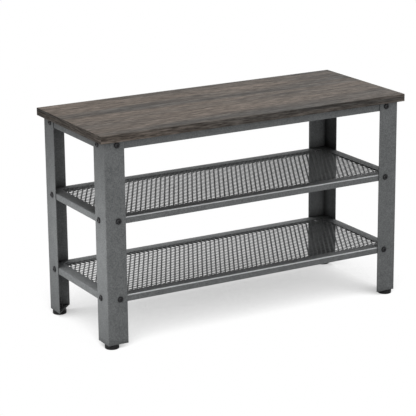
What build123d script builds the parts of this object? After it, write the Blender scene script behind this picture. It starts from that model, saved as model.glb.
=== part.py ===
from build123d import *
import math
import os

# An entryway bench: a wood-effect board on four steel angle legs, with two mesh shelves for shoes.
# Millimetres. +X runs along the bench, the front faces -Y, and Z is zero on the floor.

# Overall size: the plan of the board, and the height of its top above the floor
bench_length = 736.6
bench_depth = 304.8
bench_height = 457.2

# Seat board
board_thickness = 16.0
board_edge_round = 1.2

# Legs: equal angles, set back from the edges of the board
leg_setback = 11.0
leg_flange = 46.0
leg_wall = 1.5
leg_bend_inside = 1.0

# Rails: angles with their ledge on top, four to each frame, mitred where they meet
rail_wall = 1.5
rail_ledge = 24.0
rail_bend_inside = 1.0
rail_corner_trim = 3.0
top_rail_height = 18.0
shelf_rail_height = 14.0

# Shelf levels: the floor gap under the lower shelf and the clear height between the shelves
lower_shelf_underside = 100.0
shelf_clear_height = 152.4

# Expanded mesh, welded to the underside of the shelf ledges
mesh_thickness = 0.8
mesh_lap = 10.0
mesh_short_way = 28.0
mesh_long_way = 48.0
mesh_strand = 4.4

# Frame screws: button heads outside the legs, round weld nuts inside the rails
screw_from_corner = 29.5
screw_diameter = 6.0
screw_length = 10.0
screw_head_diameter = 12.6
screw_head_height = 3.2
screw_head_chamfer = 1.3
screw_socket_flats = 4.0
screw_socket_depth = 2.0
screw_hole_clearance = 0.3
rail_nut_diameter = 9.0
rail_nut_length = 6.0

# Board screws: pan heads under the ledges of the top rails
board_screw_diameter = 4.0
board_screw_length = 13.0
board_screw_head_diameter = 8.0
board_screw_head_height = 2.4
board_screw_spacing = 240.0
board_screw_hole_clearance = 0.3

# Levelling feet: a pad on a threaded stud, in a nut on a plate across the foot of each leg
foot_from_corner = 15.0
foot_pad_diameter = 30.0
foot_pad_height = 10.0
foot_pad_rim_height = 8.0
foot_pad_top_diameter = 26.0
foot_pad_edge = 1.0
stud_diameter = 8.0
stud_length = 33.0
stud_seat_depth = 7.0
stud_hole_clearance = 0.5
foot_plate_thickness = 2.0
foot_plate_corner_trim = 4.0
foot_nut_flats = 13.0
foot_nut_height = 6.5

# Radial gap between a thread and the hole that takes it
thread_clearance = 0.05

# Levels and faces that follow from the sizes above
board_underside = bench_height - board_thickness
leg_bottom = foot_pad_height
leg_height = board_underside - leg_bottom
corner_x = bench_length / 2 - leg_setback
corner_y = bench_depth / 2 - leg_setback
frame_half_x = corner_x - leg_wall
frame_half_y = corner_y - leg_wall
upper_shelf_underside = lower_shelf_underside + shelf_rail_height + shelf_clear_height
top_rail_underside = board_underside - top_rail_height

# Each frame: its name, the level of its rails' lower edge, and the height of its rails
FRAMES = (
    ("top", top_rail_underside, top_rail_height),
    ("upper_shelf", upper_shelf_underside, shelf_rail_height),
    ("lower_shelf", lower_shelf_underside, shelf_rail_height),
)

# Each leg corner: its name and the signs of its X and Y
CORNERS = (
    ("front_left", -1, -1),
    ("front_right", 1, -1),
    ("rear_left", -1, 1),
    ("rear_right", 1, 1),
)


def screw_level(underside, height):
    """Height of the frame screws: half way up the rail."""
    return underside + height / 2


def at_corner(shape, sign_x, sign_y):
    """Turn a shape made at the front left corner into the one at another corner."""
    if sign_x > 0:
        shape = mirror(shape, about=Plane.YZ)
    if sign_y > 0:
        shape = mirror(shape, about=Plane.XZ)
    return shape


def angle_profile(width, height, wall, bend_inside):
    """Angle section with its outer corner at the origin and its flanges along +X and +Y."""
    outline = Polyline(
        (0, 0), (width, 0), (width, wall), (wall, wall), (wall, height), (0, height), close=True
    )
    section = make_face(outline)
    outer = section.vertices().sort_by_distance((0, 0, 0))[0]
    section = fillet(outer, bend_inside + wall)
    inner = section.vertices().sort_by_distance((wall, wall, 0))[0]
    return fillet(inner, bend_inside)


def cylinder_along(direction, start, radius, length):
    """Solid cylinder from a start point along a direction."""
    plane = Plane(origin=start, z_dir=direction)
    return extrude(plane * Circle(radius), amount=length)


def make_board():
    """Seat board with eased edges and blind holes for its screws."""
    base = Pos(0, 0, board_underside) * Rectangle(bench_length, bench_depth)
    board = extrude(base, amount=board_thickness)
    top_edges = board.faces().sort_by(Axis.Z)[-1].edges()
    corner_edges = board.edges().filter_by(Axis.Z)
    board = fillet(top_edges + corner_edges, board_edge_round)
    pilot_depth = board_screw_length - rail_wall
    pilot_radius = board_screw_diameter / 2 + thread_clearance
    for x, y in board_screw_points():
        board -= cylinder_along((0, 0, 1), (x, y, board_underside), pilot_radius, pilot_depth)
    return board


def board_screw_points():
    """Plan positions of the board screws: three along each long rail, one on each end rail."""
    line_x = frame_half_x - rail_ledge / 2
    line_y = frame_half_y - rail_ledge / 2
    along = (-board_screw_spacing, 0, board_screw_spacing)
    points = [(x, side * line_y) for side in (-1, 1) for x in along]
    return points + [(side * line_x, 0) for side in (-1, 1)]


def make_board_screws():
    """Pan-headed screws that hold the board down onto the top rails."""
    screws = []
    seat = board_underside - rail_wall
    for x, y in board_screw_points():
        shank = cylinder_along((0, 0, 1), (x, y, seat), board_screw_diameter / 2, board_screw_length)
        head = cylinder_along((0, 0, -1), (x, y, seat), board_screw_head_diameter / 2, board_screw_head_height)
        rim = head.edges().sort_by(Axis.Z)[0]
        screws.append(shank + chamfer(rim, board_screw_head_height / 2))
    return screws


def make_leg():
    """Front left leg: an angle with a screw hole through each flange at every frame."""
    profile = Pos(-corner_x, -corner_y, leg_bottom) * angle_profile(
        leg_flange, leg_flange, leg_wall, leg_bend_inside
    )
    leg = extrude(profile, amount=leg_height, dir=(0, 0, 1))
    for _, underside, height in FRAMES:
        for start, direction in screw_seats(screw_level(underside, height)):
            leg -= cylinder_along(direction, start, screw_diameter / 2 + screw_hole_clearance, leg_wall)
    return leg


def screw_seats(level):
    """Head seats of the two screws at the front left corner, with their inward directions."""
    front = (-corner_x + screw_from_corner, -corner_y, level)
    side = (-corner_x, -corner_y + screw_from_corner, level)
    return ((front, (0, 1, 0)), (side, (1, 0, 0)))


def frame_screw(start, direction):
    """Button-headed machine screw with a hexagon socket, seated at a start point."""
    outward = tuple(-value for value in direction)
    shank = cylinder_along(direction, start, screw_diameter / 2, screw_length)
    head = cylinder_along(outward, start, screw_head_diameter / 2, screw_head_height)
    crown = head.faces().sort_by(Axis(start, outward))[-1]
    head = chamfer(crown.edges(), screw_head_chamfer)
    crown_plane = Plane(head.faces().sort_by(Axis(start, outward))[-1])
    socket = crown_plane * RegularPolygon(screw_socket_flats / 2, 6, major_radius=False)
    return shank + head - extrude(socket, amount=-screw_socket_depth)


def rail_nut(start, direction):
    """Round nut welded behind the rail, on the axis of a frame screw."""
    depth = leg_wall + rail_wall
    seat = tuple(point + depth * step for point, step in zip(start, direction))
    nut = cylinder_along(direction, seat, rail_nut_diameter / 2, rail_nut_length)
    return nut - cylinder_along(direction, seat, screw_diameter / 2 + thread_clearance, rail_nut_length)


def at_all_corners(make_piece, level):
    """One piece for each screw of a frame: two at every corner."""
    pieces = []
    for start, direction in screw_seats(level):
        piece = make_piece(start, direction)
        pieces += [at_corner(piece, sign_x, sign_y) for _, sign_x, sign_y in CORNERS]
    return pieces


def corner_blank(underside, height):
    """Prism of a frame's plan with its corners trimmed clear of the bends of the legs."""
    plan = Pos(0, 0, underside) * Rectangle(2 * frame_half_x, 2 * frame_half_y)
    blank = extrude(plan, amount=height)
    return chamfer(blank.edges().filter_by(Axis.Z), rail_corner_trim)


def mitre_wedge(underside, height, along_x):
    """Prism over the part of a frame's plan that belongs to its front or its left rail."""
    reach = 2 * rail_ledge
    if along_x:
        outline = Polyline(
            (-frame_half_x, -frame_half_y),
            (frame_half_x, -frame_half_y),
            (frame_half_x - reach, -frame_half_y + reach),
            (-frame_half_x + reach, -frame_half_y + reach),
            close=True,
        )
    else:
        outline = Polyline(
            (-frame_half_x, -frame_half_y),
            (-frame_half_x + reach, -frame_half_y + reach),
            (-frame_half_x + reach, frame_half_y - reach),
            (-frame_half_x, frame_half_y),
            close=True,
        )
    return extrude(Pos(0, 0, underside) * make_face(outline), amount=height, dir=(0, 0, 1))


def make_rail(underside, height, along_x):
    """Front or left rail of a frame, with its ledge at the top and mitred ends."""
    top = underside + height
    section = angle_profile(rail_ledge, height, rail_wall, rail_bend_inside)
    if along_x:
        plane = Plane(origin=(-frame_half_x, -frame_half_y, top), x_dir=(0, 1, 0), z_dir=(1, 0, 0))
        bar = extrude(plane * mirror(section, about=Plane.XZ), amount=2 * frame_half_x)
    else:
        plane = Plane(origin=(-frame_half_x, frame_half_y, top), x_dir=(1, 0, 0), z_dir=(0, -1, 0))
        bar = extrude(plane * mirror(section, about=Plane.XZ), amount=2 * frame_half_y)
    rail = bar & mitre_wedge(underside, height, along_x) & corner_blank(underside, height)
    front, side = screw_seats(screw_level(underside, height))
    start, direction = front if along_x else side
    hole = cylinder_along(
        direction, start, screw_diameter / 2 + screw_hole_clearance, leg_wall + 2 * rail_wall
    )
    rail -= hole
    rail -= mirror(hole, about=Plane.YZ if along_x else Plane.XZ)
    return rail


def drill_board_holes(rail):
    """Clearance holes for the board screws through a top rail's ledge."""
    radius = board_screw_diameter / 2 + board_screw_hole_clearance
    for x, y in board_screw_points():
        rail -= cylinder_along((0, 0, -1), (x, y, board_underside), radius, rail_wall)
    return rail


def make_frame_rails(name, underside, height):
    """The four rails of a frame by node name."""
    front = make_rail(underside, height, along_x=True)
    left = make_rail(underside, height, along_x=False)
    rails = {
        "front": front,
        "rear": mirror(front, about=Plane.XZ),
        "left": left,
        "right": mirror(left, about=Plane.YZ),
    }
    if name == "top":
        rails = {side: drill_board_holes(rail) for side, rail in rails.items()}
    return {f"{name}_rail_{side}": rail for side, rail in rails.items()}


def mesh_openings(half_x, half_y):
    """Outlines of the diamond openings that fill a window, cut in half along its edges."""
    columns = max(1, round(2 * half_x / mesh_short_way))
    rows = max(1, round(2 * half_y / mesh_long_way))
    pitch_x = 2 * half_x / columns
    pitch_y = 2 * half_y / rows
    strand_gap = pitch_x * pitch_y / math.hypot(pitch_x, pitch_y)
    share = 1 - mesh_strand / strand_gap
    reach_x = share * pitch_x / 2
    reach_y = share * pitch_y / 2
    centres = [(i, j) for i in range(columns + 1) for j in range(rows + 1)]
    centres += [(i + 0.5, j + 0.5) for i in range(columns) for j in range(rows)]
    outlines = []
    for i, j in centres:
        x = -half_x + i * pitch_x
        y = -half_y + j * pitch_y
        corners = []
        if i < columns:
            corners.append((x + reach_x, y))
        if j < rows:
            corners.append((x, y + reach_y))
        if i > 0:
            corners.append((x - reach_x, y))
        if j > 0:
            corners.append((x, y - reach_y))
        if len(corners) == 2:
            corners.append((x, y))
        outlines.append(Wire(Polyline(*corners, close=True).edges()))
    return outlines


def make_mesh(underside):
    """Expanded mesh sheet under the ledges of a shelf, open inside them."""
    top = underside + shelf_rail_height - rail_wall
    window_x = frame_half_x - rail_ledge
    window_y = frame_half_y - rail_ledge
    border = Rectangle(2 * (window_x + mesh_lap), 2 * (window_y + mesh_lap))
    sheet = Face(border.wire(), mesh_openings(window_x, window_y))
    return extrude(Pos(0, 0, top - mesh_thickness) * sheet, amount=mesh_thickness, dir=(0, 0, 1))


def foot_centre():
    """Plan position of the front left foot."""
    return (-corner_x + foot_from_corner, -corner_y + foot_from_corner)


def make_foot_plate():
    """Three-cornered plate across the front left leg's foot, bored for the stud."""
    reach = leg_flange - leg_wall
    outline = Polyline(
        (foot_plate_corner_trim, 0), (reach, 0), (0, reach), (0, foot_plate_corner_trim), close=True
    )
    inner_corner = Pos(-corner_x + leg_wall, -corner_y + leg_wall, leg_bottom)
    plate = extrude(inner_corner * make_face(outline), amount=foot_plate_thickness, dir=(0, 0, 1))
    radius = stud_diameter / 2 + stud_hole_clearance
    return plate - cylinder_along((0, 0, 1), (*foot_centre(), leg_bottom), radius, foot_plate_thickness)


def make_foot_nut():
    """Hexagon nut welded on the front left foot plate."""
    seat = (*foot_centre(), leg_bottom + foot_plate_thickness)
    outline = Pos(*seat) * RegularPolygon(foot_nut_flats / 2, 6, major_radius=False)
    nut = extrude(outline, amount=foot_nut_height)
    return nut - cylinder_along((0, 0, 1), seat, stud_diameter / 2 + thread_clearance, foot_nut_height)


def make_foot_pad():
    """Moulded pad of the front left foot: a straight rim, bevelled at its top, with a seat for the stud."""
    rim = foot_pad_diameter / 2
    bore = stud_diameter / 2 + thread_clearance
    seat = foot_pad_height - stud_seat_depth
    outline = Polyline(
        (0, 0),
        (rim - foot_pad_edge, 0),
        (rim, foot_pad_edge),
        (rim, foot_pad_rim_height),
        (foot_pad_top_diameter / 2, foot_pad_height),
        (bore, foot_pad_height),
        (bore, seat),
        (0, seat),
        close=True,
    )
    pad = revolve(Plane.XZ * make_face(outline), axis=Axis.Z)
    return Pos(*foot_centre(), 0) * pad


def make_foot_stud():
    """Threaded stud of the front left foot, shown plain."""
    seat = (*foot_centre(), foot_pad_height - stud_seat_depth)
    stud = cylinder_along((0, 0, 1), seat, stud_diameter / 2, stud_length)
    return chamfer(stud.edges().sort_by(Axis.Z)[-1], stud_diameter / 8)


def build_nodes():
    """Every node of the bench by name."""
    nodes = {"top_board": make_board(), "board_screws": make_board_screws()}
    for name, underside, height in FRAMES:
        nodes.update(make_frame_rails(name, underside, height))
        level = screw_level(underside, height)
        nodes[f"{name}_frame_screws"] = at_all_corners(frame_screw, level)
        nodes[f"{name}_frame_nuts"] = at_all_corners(rail_nut, level)
    nodes["upper_shelf_mesh"] = make_mesh(upper_shelf_underside)
    nodes["lower_shelf_mesh"] = make_mesh(lower_shelf_underside)
    corner_pieces = {
        "leg": make_leg(),
        "foot_plate": make_foot_plate(),
        "foot_nut": make_foot_nut(),
        "foot_pad": make_foot_pad(),
        "foot_stud": make_foot_stud(),
    }
    for piece, shape in corner_pieces.items():
        for corner, sign_x, sign_y in CORNERS:
            nodes[f"{piece}_{corner}"] = at_corner(shape, sign_x, sign_y)
    return nodes


os.makedirs("parts", exist_ok=True)
for node_name, node_shape in build_nodes().items():
    solids = node_shape if isinstance(node_shape, list) else [node_shape]
    bodies = [solid for shape in solids for solid in shape.solids()]
    export_step(bodies[0] if len(bodies) == 1 else Compound(children=bodies), f"parts/{node_name}.step")
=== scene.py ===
import logging
import math
from dataclasses import dataclass
from enum import Enum
from typing import Callable, Iterable, Sequence, Union

import bmesh
import bpy
from mathutils import Matrix, Vector


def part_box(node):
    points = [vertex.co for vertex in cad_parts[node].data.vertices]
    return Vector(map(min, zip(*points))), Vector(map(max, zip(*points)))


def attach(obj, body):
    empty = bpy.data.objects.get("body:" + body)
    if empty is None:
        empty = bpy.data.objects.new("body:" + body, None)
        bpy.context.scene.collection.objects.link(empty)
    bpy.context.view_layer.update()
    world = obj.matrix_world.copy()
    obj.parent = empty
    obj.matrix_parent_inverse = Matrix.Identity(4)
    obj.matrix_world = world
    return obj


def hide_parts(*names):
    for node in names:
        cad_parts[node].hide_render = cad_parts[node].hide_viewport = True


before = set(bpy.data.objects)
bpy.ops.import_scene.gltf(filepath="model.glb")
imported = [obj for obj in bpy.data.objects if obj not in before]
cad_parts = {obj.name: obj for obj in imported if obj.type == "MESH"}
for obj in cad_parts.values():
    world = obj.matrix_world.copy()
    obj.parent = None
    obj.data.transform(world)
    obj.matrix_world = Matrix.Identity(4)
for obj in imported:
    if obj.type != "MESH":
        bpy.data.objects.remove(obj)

# An entryway bench: a wood-effect board on four steel angle legs, with two expanded mesh shelves for shoes.
# Metres, in the frame of the CAD model: +X along the bench, the front faces -Y, Z is zero on the floor.

log = logging.getLogger("entryway_bench")

MM = 0.001
CROSS_ARM = 0.28  # Half the width of a cross recess's arm, against half its length
NEARLY_ZERO = 1e-9
MOST_OF_A_NOISE = (0.3, 0.7)  # Where nearly all values of a noise lie
Colour = tuple[float, float, float]
Span = tuple[float, float]
Triple = tuple[float, float, float]
Feed = Union[float, Sequence[float], bpy.types.NodeSocket, bpy.types.Material, bpy.types.Object]
Ring = list[Vector]


class Side(Enum):
    """The four sides of a frame, by the end of their rails' nodes."""

    FRONT = "front"
    REAR = "rear"
    LEFT = "left"
    RIGHT = "right"


class Level(Enum):
    """The three frames that tie the legs together, by the prefix of their nodes."""

    TOP = "top"
    UPPER_SHELF = "upper_shelf"
    LOWER_SHELF = "lower_shelf"

    def rail(self, side: Side) -> str:
        """Node name of one rail of this frame."""
        return f"{self.value}_rail_{side.value}"


class Corner(Enum):
    """The four legs, each with the signs of its X and Y."""

    FRONT_LEFT = (-1, -1)
    FRONT_RIGHT = (1, -1)
    REAR_LEFT = (-1, 1)
    REAR_RIGHT = (1, 1)

    def node(self, piece: str) -> str:
        """Node name of a piece at this leg."""
        return f"{piece}_{self.name.lower()}"

    def outer(self, low: Vector, high: Vector) -> tuple[float, float]:
        """Outermost X and Y of a box at this corner of the bench."""
        return (high.x if self.value[0] > 0 else low.x), (high.y if self.value[1] > 0 else low.y)


class Drive(Enum):
    """Recess in the head of a fastener."""

    HEX_SOCKET = "hex_socket"
    CROSS = "cross"

    def radius(self, angle: float, size: float) -> float:
        """Distance from the middle of the recess to its wall.

        Args:
            angle: Direction round the screw, in radians.
            size: Half the distance across the flats, or half the length of the cross.

        Returns:
            The distance, in the units of size.
        """
        if self is Drive.HEX_SOCKET:
            sector = math.pi / 3
            return size / math.cos(angle % sector - sector / 2)
        along, across = abs(math.cos(angle)) + NEARLY_ZERO, abs(math.sin(angle)) + NEARLY_ZERO
        arm = size * CROSS_ARM
        return max(min(size / along, arm / across), min(arm / along, size / across))


class NodeSheet:
    """Lays nodes into one tree and wires them, so that a finish or a layout reads as a short recipe."""

    def __init__(self, tree: bpy.types.NodeTree) -> None:
        """Keeps the tree that the nodes go into."""
        self.tree = tree

    def feed(self, socket: bpy.types.NodeSocket, value: Feed) -> None:
        """Wires a socket to another one, or sets its own value.

        Args:
            socket: The input to feed.
            value: A socket to wire it to, or a plain value.
        """
        if isinstance(value, bpy.types.NodeSocket):
            self.tree.links.new(value, socket)
        else:
            socket.default_value = value

    def node(self, kind: str, feeds: dict[Union[str, int], Feed] | None = None, **settings: object) -> bpy.types.Node:
        """Adds one node.

        Args:
            kind: Identifier of the node's type.
            feeds: What goes into its sockets, by name or index.
            settings: Properties of the node, by name.

        Returns:
            The new node.
        """
        made = self.tree.nodes.new(kind)
        for name, value in settings.items():
            setattr(made, name, value)
        for key, value in (feeds or {}).items():
            self.feed(made.inputs[key], value)
        return made

    def math(self, operation: str, first: Feed, second: Feed = 0.0) -> bpy.types.NodeSocket:
        """Result of one arithmetic step on two values."""
        return self.node("ShaderNodeMath", {0: first, 1: second}, operation=operation).outputs[0]

    def noise(
        self, place: Feed, scale: Feed, detail: float = 2.0, rough: float = 0.5, warp: float = 0.0,
    ) -> bpy.types.NodeSocket:
        """Soft random value from 0 to 1 over the surface.

        Args:
            place: Coordinates to read it at.
            scale: Features per metre.
            detail: Octaves of finer noise.
            rough: Weight of the finer octaves.
            warp: How far the pattern bends itself.

        Returns:
            The value's socket.
        """
        feeds = {"Vector": place, "Scale": scale, "Detail": detail, "Roughness": rough, "Distortion": warp}
        return self.node("ShaderNodeTexNoise", feeds).outputs["Fac"]

    def stretch(self, place: Feed, scale: Sequence[float]) -> bpy.types.NodeSocket:
        """Coordinates scaled along each axis, so that a pattern is drawn out."""
        return self.node("ShaderNodeMapping", {"Vector": place, "Scale": scale}).outputs["Vector"]

    def span(
        self, value: Feed, low: float, high: float, to_low: float = 0.0, to_high: float = 1.0,
    ) -> bpy.types.NodeSocket:
        """Value between two limits, carried to two others and held between them.

        Args:
            value: What is carried.
            low: Value that gives to_low.
            high: Value that gives to_high.
            to_low: First limit of the result.
            to_high: Second limit of the result.

        Returns:
            The result's socket.
        """
        feeds = {"Value": value, "From Min": low, "From Max": high, "To Min": to_low, "To Max": to_high}
        return self.node("ShaderNodeMapRange", feeds).outputs["Result"]

    def mix(self, factor: Feed, first: Feed, second: Feed, blend: str = "MIX") -> bpy.types.NodeSocket:
        """Two colours mixed.

        Args:
            factor: Share of the second.
            first: Colour at factor 0.
            second: Colour at factor 1.
            blend: Way of mixing.

        Returns:
            The mixed colour's socket.
        """
        feeds = {0: factor, 6: first, 7: second}
        return self.node("ShaderNodeMix", feeds, data_type="RGBA", blend_type=blend).outputs[2]

    def bump(self, height: Feed, strength: float, depth: float) -> bpy.types.NodeSocket:
        """Normal of a surface raised by a height.

        Args:
            height: Height from 0 to 1.
            strength: How much of it shows.
            depth: Real height in metres.

        Returns:
            The normal's socket.
        """
        feeds = {"Height": height, "Strength": strength, "Distance": depth}
        return self.node("ShaderNodeBump", feeds).outputs["Normal"]


def rgba(colour: Colour) -> tuple[float, float, float, float]:
    """Colour with full opacity."""
    return (*colour, 1.0)


@dataclass(frozen=True)
class EffectGroup:
    """A surface effect that several finishes share, as one shader node group."""

    name: str
    inputs: tuple[str, ...]
    outputs: tuple[str, ...]
    recipe: Callable[[NodeSheet, dict[str, bpy.types.NodeSocket]], dict[str, bpy.types.NodeSocket]]

    def tree(self) -> bpy.types.ShaderNodeTree:
        """The group's tree, built the first time it is asked for.

        Returns:
            The tree.
        """
        if self.name in bpy.data.node_groups:
            return bpy.data.node_groups[self.name]
        tree = bpy.data.node_groups.new(self.name, "ShaderNodeTree")
        tree.interface.new_socket("Place", in_out="INPUT", socket_type="NodeSocketVector")
        for name in self.inputs:
            tree.interface.new_socket(name, in_out="INPUT", socket_type="NodeSocketFloat")
        for name in self.outputs:
            tree.interface.new_socket(name, in_out="OUTPUT", socket_type="NodeSocketFloat")
        sheet = NodeSheet(tree)
        results = self.recipe(sheet, dict(sheet.node("NodeGroupInput").outputs.items()))
        sheet.node("NodeGroupOutput", results)
        return tree

    def place(self, sheet: NodeSheet, place: Feed, **values: float) -> dict[str, bpy.types.NodeSocket]:
        """Puts the effect into a finish.

        Args:
            sheet: The finish's nodes.
            place: Coordinates to read it at.
            values: The group's inputs, by name with underscores for spaces.

        Returns:
            The group's outputs by name.
        """
        group = sheet.node("ShaderNodeGroup", node_tree=self.tree())
        sheet.feed(group.inputs["Place"], place)
        for name, value in values.items():
            sheet.feed(group.inputs[name.replace("_", " ").title()], value)
        return dict(group.outputs.items())


def fleck_recipe(sheet: NodeSheet, given: dict[str, bpy.types.NodeSocket]) -> dict[str, bpy.types.NodeSocket]:
    """Fine flecks over broad soft clouds, as in a baked coat or a moulded skin.

    Args:
        sheet: The group's nodes.
        given: The group's inputs.

    Returns:
        Tone and Height, both about 0 to 1.
    """
    fine = sheet.noise(given["Place"], given["Fleck Scale"], detail=2.0, rough=0.6)
    broad = sheet.noise(given["Place"], given["Cloud Scale"], detail=3.0, rough=0.55)
    fleck = sheet.span(fine, low=0.32, high=0.68)
    cloud = sheet.span(broad, low=0.35, high=0.65)
    kept = sheet.math("MULTIPLY", fleck, sheet.math("SUBTRACT", 1.0, given["Cloud Weight"]))
    tone = sheet.math("ADD", kept, sheet.math("MULTIPLY", cloud, given["Cloud Weight"]))
    return {"Tone": tone, "Height": fleck}


def rub_recipe(sheet: NodeSheet, given: dict[str, bpy.types.NodeSocket]) -> dict[str, bpy.types.NodeSocket]:
    """Faint rubs and hairlines from handling, in patches.

    Args:
        sheet: The group's nodes.
        given: The group's inputs.

    Returns:
        Mask, from 0 to 1.
    """
    along_x, along_y = (1.0, 14.0, 9.0), (13.0, 1.0, 4.0)
    wear = {"scale": given["Rub Scale"], "detail": 3.0, "rough": 0.6, "warp": 0.3}
    lines = sheet.noise(sheet.stretch(given["Place"], along_x), **wear)
    cross = sheet.noise(sheet.stretch(given["Place"], along_y), **wear)
    patch = sheet.noise(given["Place"], scale=9.0, detail=2.0, rough=0.5)
    hair = sheet.math("MAXIMUM", sheet.span(lines, low=0.62, high=0.74), sheet.span(cross, low=0.64, high=0.76))
    shown = sheet.math("MULTIPLY", hair, sheet.span(patch, low=0.4, high=0.65))
    return {"Mask": sheet.math("MULTIPLY", shown, given["Rub Amount"])}


FLECK = EffectGroup("baked_fleck", ("Fleck Scale", "Cloud Scale", "Cloud Weight"), ("Tone", "Height"), fleck_recipe)
RUB = EffectGroup("handling_rub", ("Rub Scale", "Rub Amount"), ("Mask",), rub_recipe)


@dataclass(frozen=True)
class Finish:
    """A material for one of the record's slots, made once and then handed out."""

    slot: str

    def material(self) -> bpy.types.Material:
        """The Blender material, made the first time it is asked for.

        Returns:
            The material.
        """
        label = f"{self.slot}_finish"
        if label in bpy.data.materials:
            return bpy.data.materials[label]
        material = bpy.data.materials.new(label)
        material.use_nodes = True
        sheet = NodeSheet(material.node_tree)
        place = sheet.node("ShaderNodeTexCoord").outputs["Object"]
        self.paint(sheet, place, material.node_tree.nodes["Principled BSDF"].inputs)
        return material

    def paint(self, sheet: NodeSheet, place: bpy.types.NodeSocket, skin: bpy.types.NodeInputs) -> None:
        """Wires the finish.

        Args:
            sheet: The material's nodes.
            place: Object coordinates.
            skin: Inputs of the material's Principled BSDF.
        """
        raise NotImplementedError


@dataclass(frozen=True)
class GrainLayer:
    """One layer of the wood print: a noise drawn out along the grain.

    Its stretch counts features per metre along, across and through the board.
    """

    stretch: Triple
    detail: float
    rough: float
    warp: float = 0.0

    def lay(self, sheet: NodeSheet, grain: bpy.types.NodeSocket) -> bpy.types.NodeSocket:
        """The layer's value over the board, from 0 to 1."""
        return sheet.noise(sheet.stretch(grain, self.stretch), 1.0, self.detail, self.rough, self.warp)


@dataclass(frozen=True)
class WoodLaminate(Finish):
    """Dark greyish brown wood print, its grain along the board and round onto the edges."""

    brown: Colour
    grey: Colour
    pore: Colour
    bands: GrainLayer = GrainLayer((1.3, 17.0, 40.0), detail=3.0, rough=0.55, warp=0.5)
    fibres: GrainLayer = GrainLayer((4.5, 110.0, 210.0), detail=4.0, rough=0.6, warp=0.3)
    flecks: GrainLayer = GrainLayer((26.0, 340.0, 380.0), detail=3.0, rough=0.6)
    pores: GrainLayer = GrainLayer((60.0, 430.0, 460.0), detail=2.0, rough=0.5)
    band_edges: Span = (0.36, 0.64)
    fibre_tone: Span = (0.74, 1.22)
    fleck_tone: Span = (0.4, 1.56)
    # Painted shade: share of the print's brightness kept on the end strips of the board
    end_shade: float = 0.82
    pore_edges: Span = (0.48, 0.68)
    pore_cover: float = 0.62
    fibre_rough: Span = (0.78, 0.62)
    rub_polish: float = 0.12
    relief: float = 0.15 * MM
    relief_shown: float = 0.25
    gloss: float = 0.04

    def paint(self, sheet: NodeSheet, place: bpy.types.NodeSocket, skin: bpy.types.NodeInputs) -> None:
        """Wires the print: soft bands, fibres, pores and a satin skin.

        Args:
            sheet: The material's nodes.
            place: Object coordinates.
            skin: Inputs of the material's Principled BSDF.
        """
        grain, on_end = self.along_grain(sheet, place)
        bands, fibres = self.bands.lay(sheet, grain), self.fibres.lay(sheet, grain)
        flecks, pores = self.flecks.lay(sheet, grain), self.pores.lay(sheet, grain)
        wood = sheet.mix(sheet.span(bands, *self.band_edges), rgba(self.grey), rgba(self.brown))
        fibre_shade = sheet.span(fibres, *MOST_OF_A_NOISE, *self.fibre_tone)
        fleck_shade = sheet.span(flecks, *MOST_OF_A_NOISE, *self.fleck_tone)
        shade = sheet.math("MULTIPLY", fibre_shade, fleck_shade)
        # Painted shade: the end strips of the board are printed darker
        shade = sheet.math("MULTIPLY", shade, sheet.span(on_end, 0.0, 1.0, 1.0, self.end_shade))
        wood = sheet.mix(1.0, wood, self.grey_of(sheet, shade), "MULTIPLY")
        pore = sheet.span(pores, *self.pore_edges, 0.0, self.pore_cover)
        sheet.feed(skin["Base Color"], sheet.mix(pore, wood, rgba(self.pore)))
        rub = RUB.place(sheet, place, rub_scale=60.0, rub_amount=0.5)["Mask"]
        dull = sheet.span(fibres, *MOST_OF_A_NOISE, *self.fibre_rough)
        sheet.feed(skin["Roughness"], sheet.math("SUBTRACT", dull, sheet.math("MULTIPLY", rub, self.rub_polish)))
        height = sheet.math("SUBTRACT", flecks, pore)
        sheet.feed(skin["Normal"], sheet.bump(height, self.relief_shown, self.relief))
        skin["Specular IOR Level"].default_value = self.gloss

    def along_grain(self, sheet: NodeSheet, place: Feed) -> tuple[bpy.types.NodeSocket, bpy.types.NodeSocket]:
        """Coordinates that follow the grain.

        Args:
            sheet: The material's nodes.
            place: Object coordinates.

        Returns:
            Coordinates whose X runs along the grain, and a mask of the strips round the ends of the board.
        """
        normal = sheet.node("ShaderNodeTexCoord").outputs["Normal"]
        facing = sheet.node("ShaderNodeSeparateXYZ", {0: normal}).outputs["X"]
        on_end = sheet.span(sheet.math("ABSOLUTE", facing), low=0.6, high=0.8)
        parts = sheet.node("ShaderNodeSeparateXYZ", {0: place}).outputs
        turned = sheet.node("ShaderNodeCombineXYZ", {0: parts["Y"], 1: parts["X"], 2: parts["Z"]}).outputs[0]
        grain = sheet.node("ShaderNodeMix", {0: on_end, 4: place, 5: turned}, data_type="VECTOR").outputs[1]
        return grain, on_end

    def grey_of(self, sheet: NodeSheet, value: bpy.types.NodeSocket) -> bpy.types.NodeSocket:
        """A value as a grey colour."""
        return sheet.node("ShaderNodeCombineColor", {0: value, 1: value, 2: value}).outputs[0]


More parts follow.
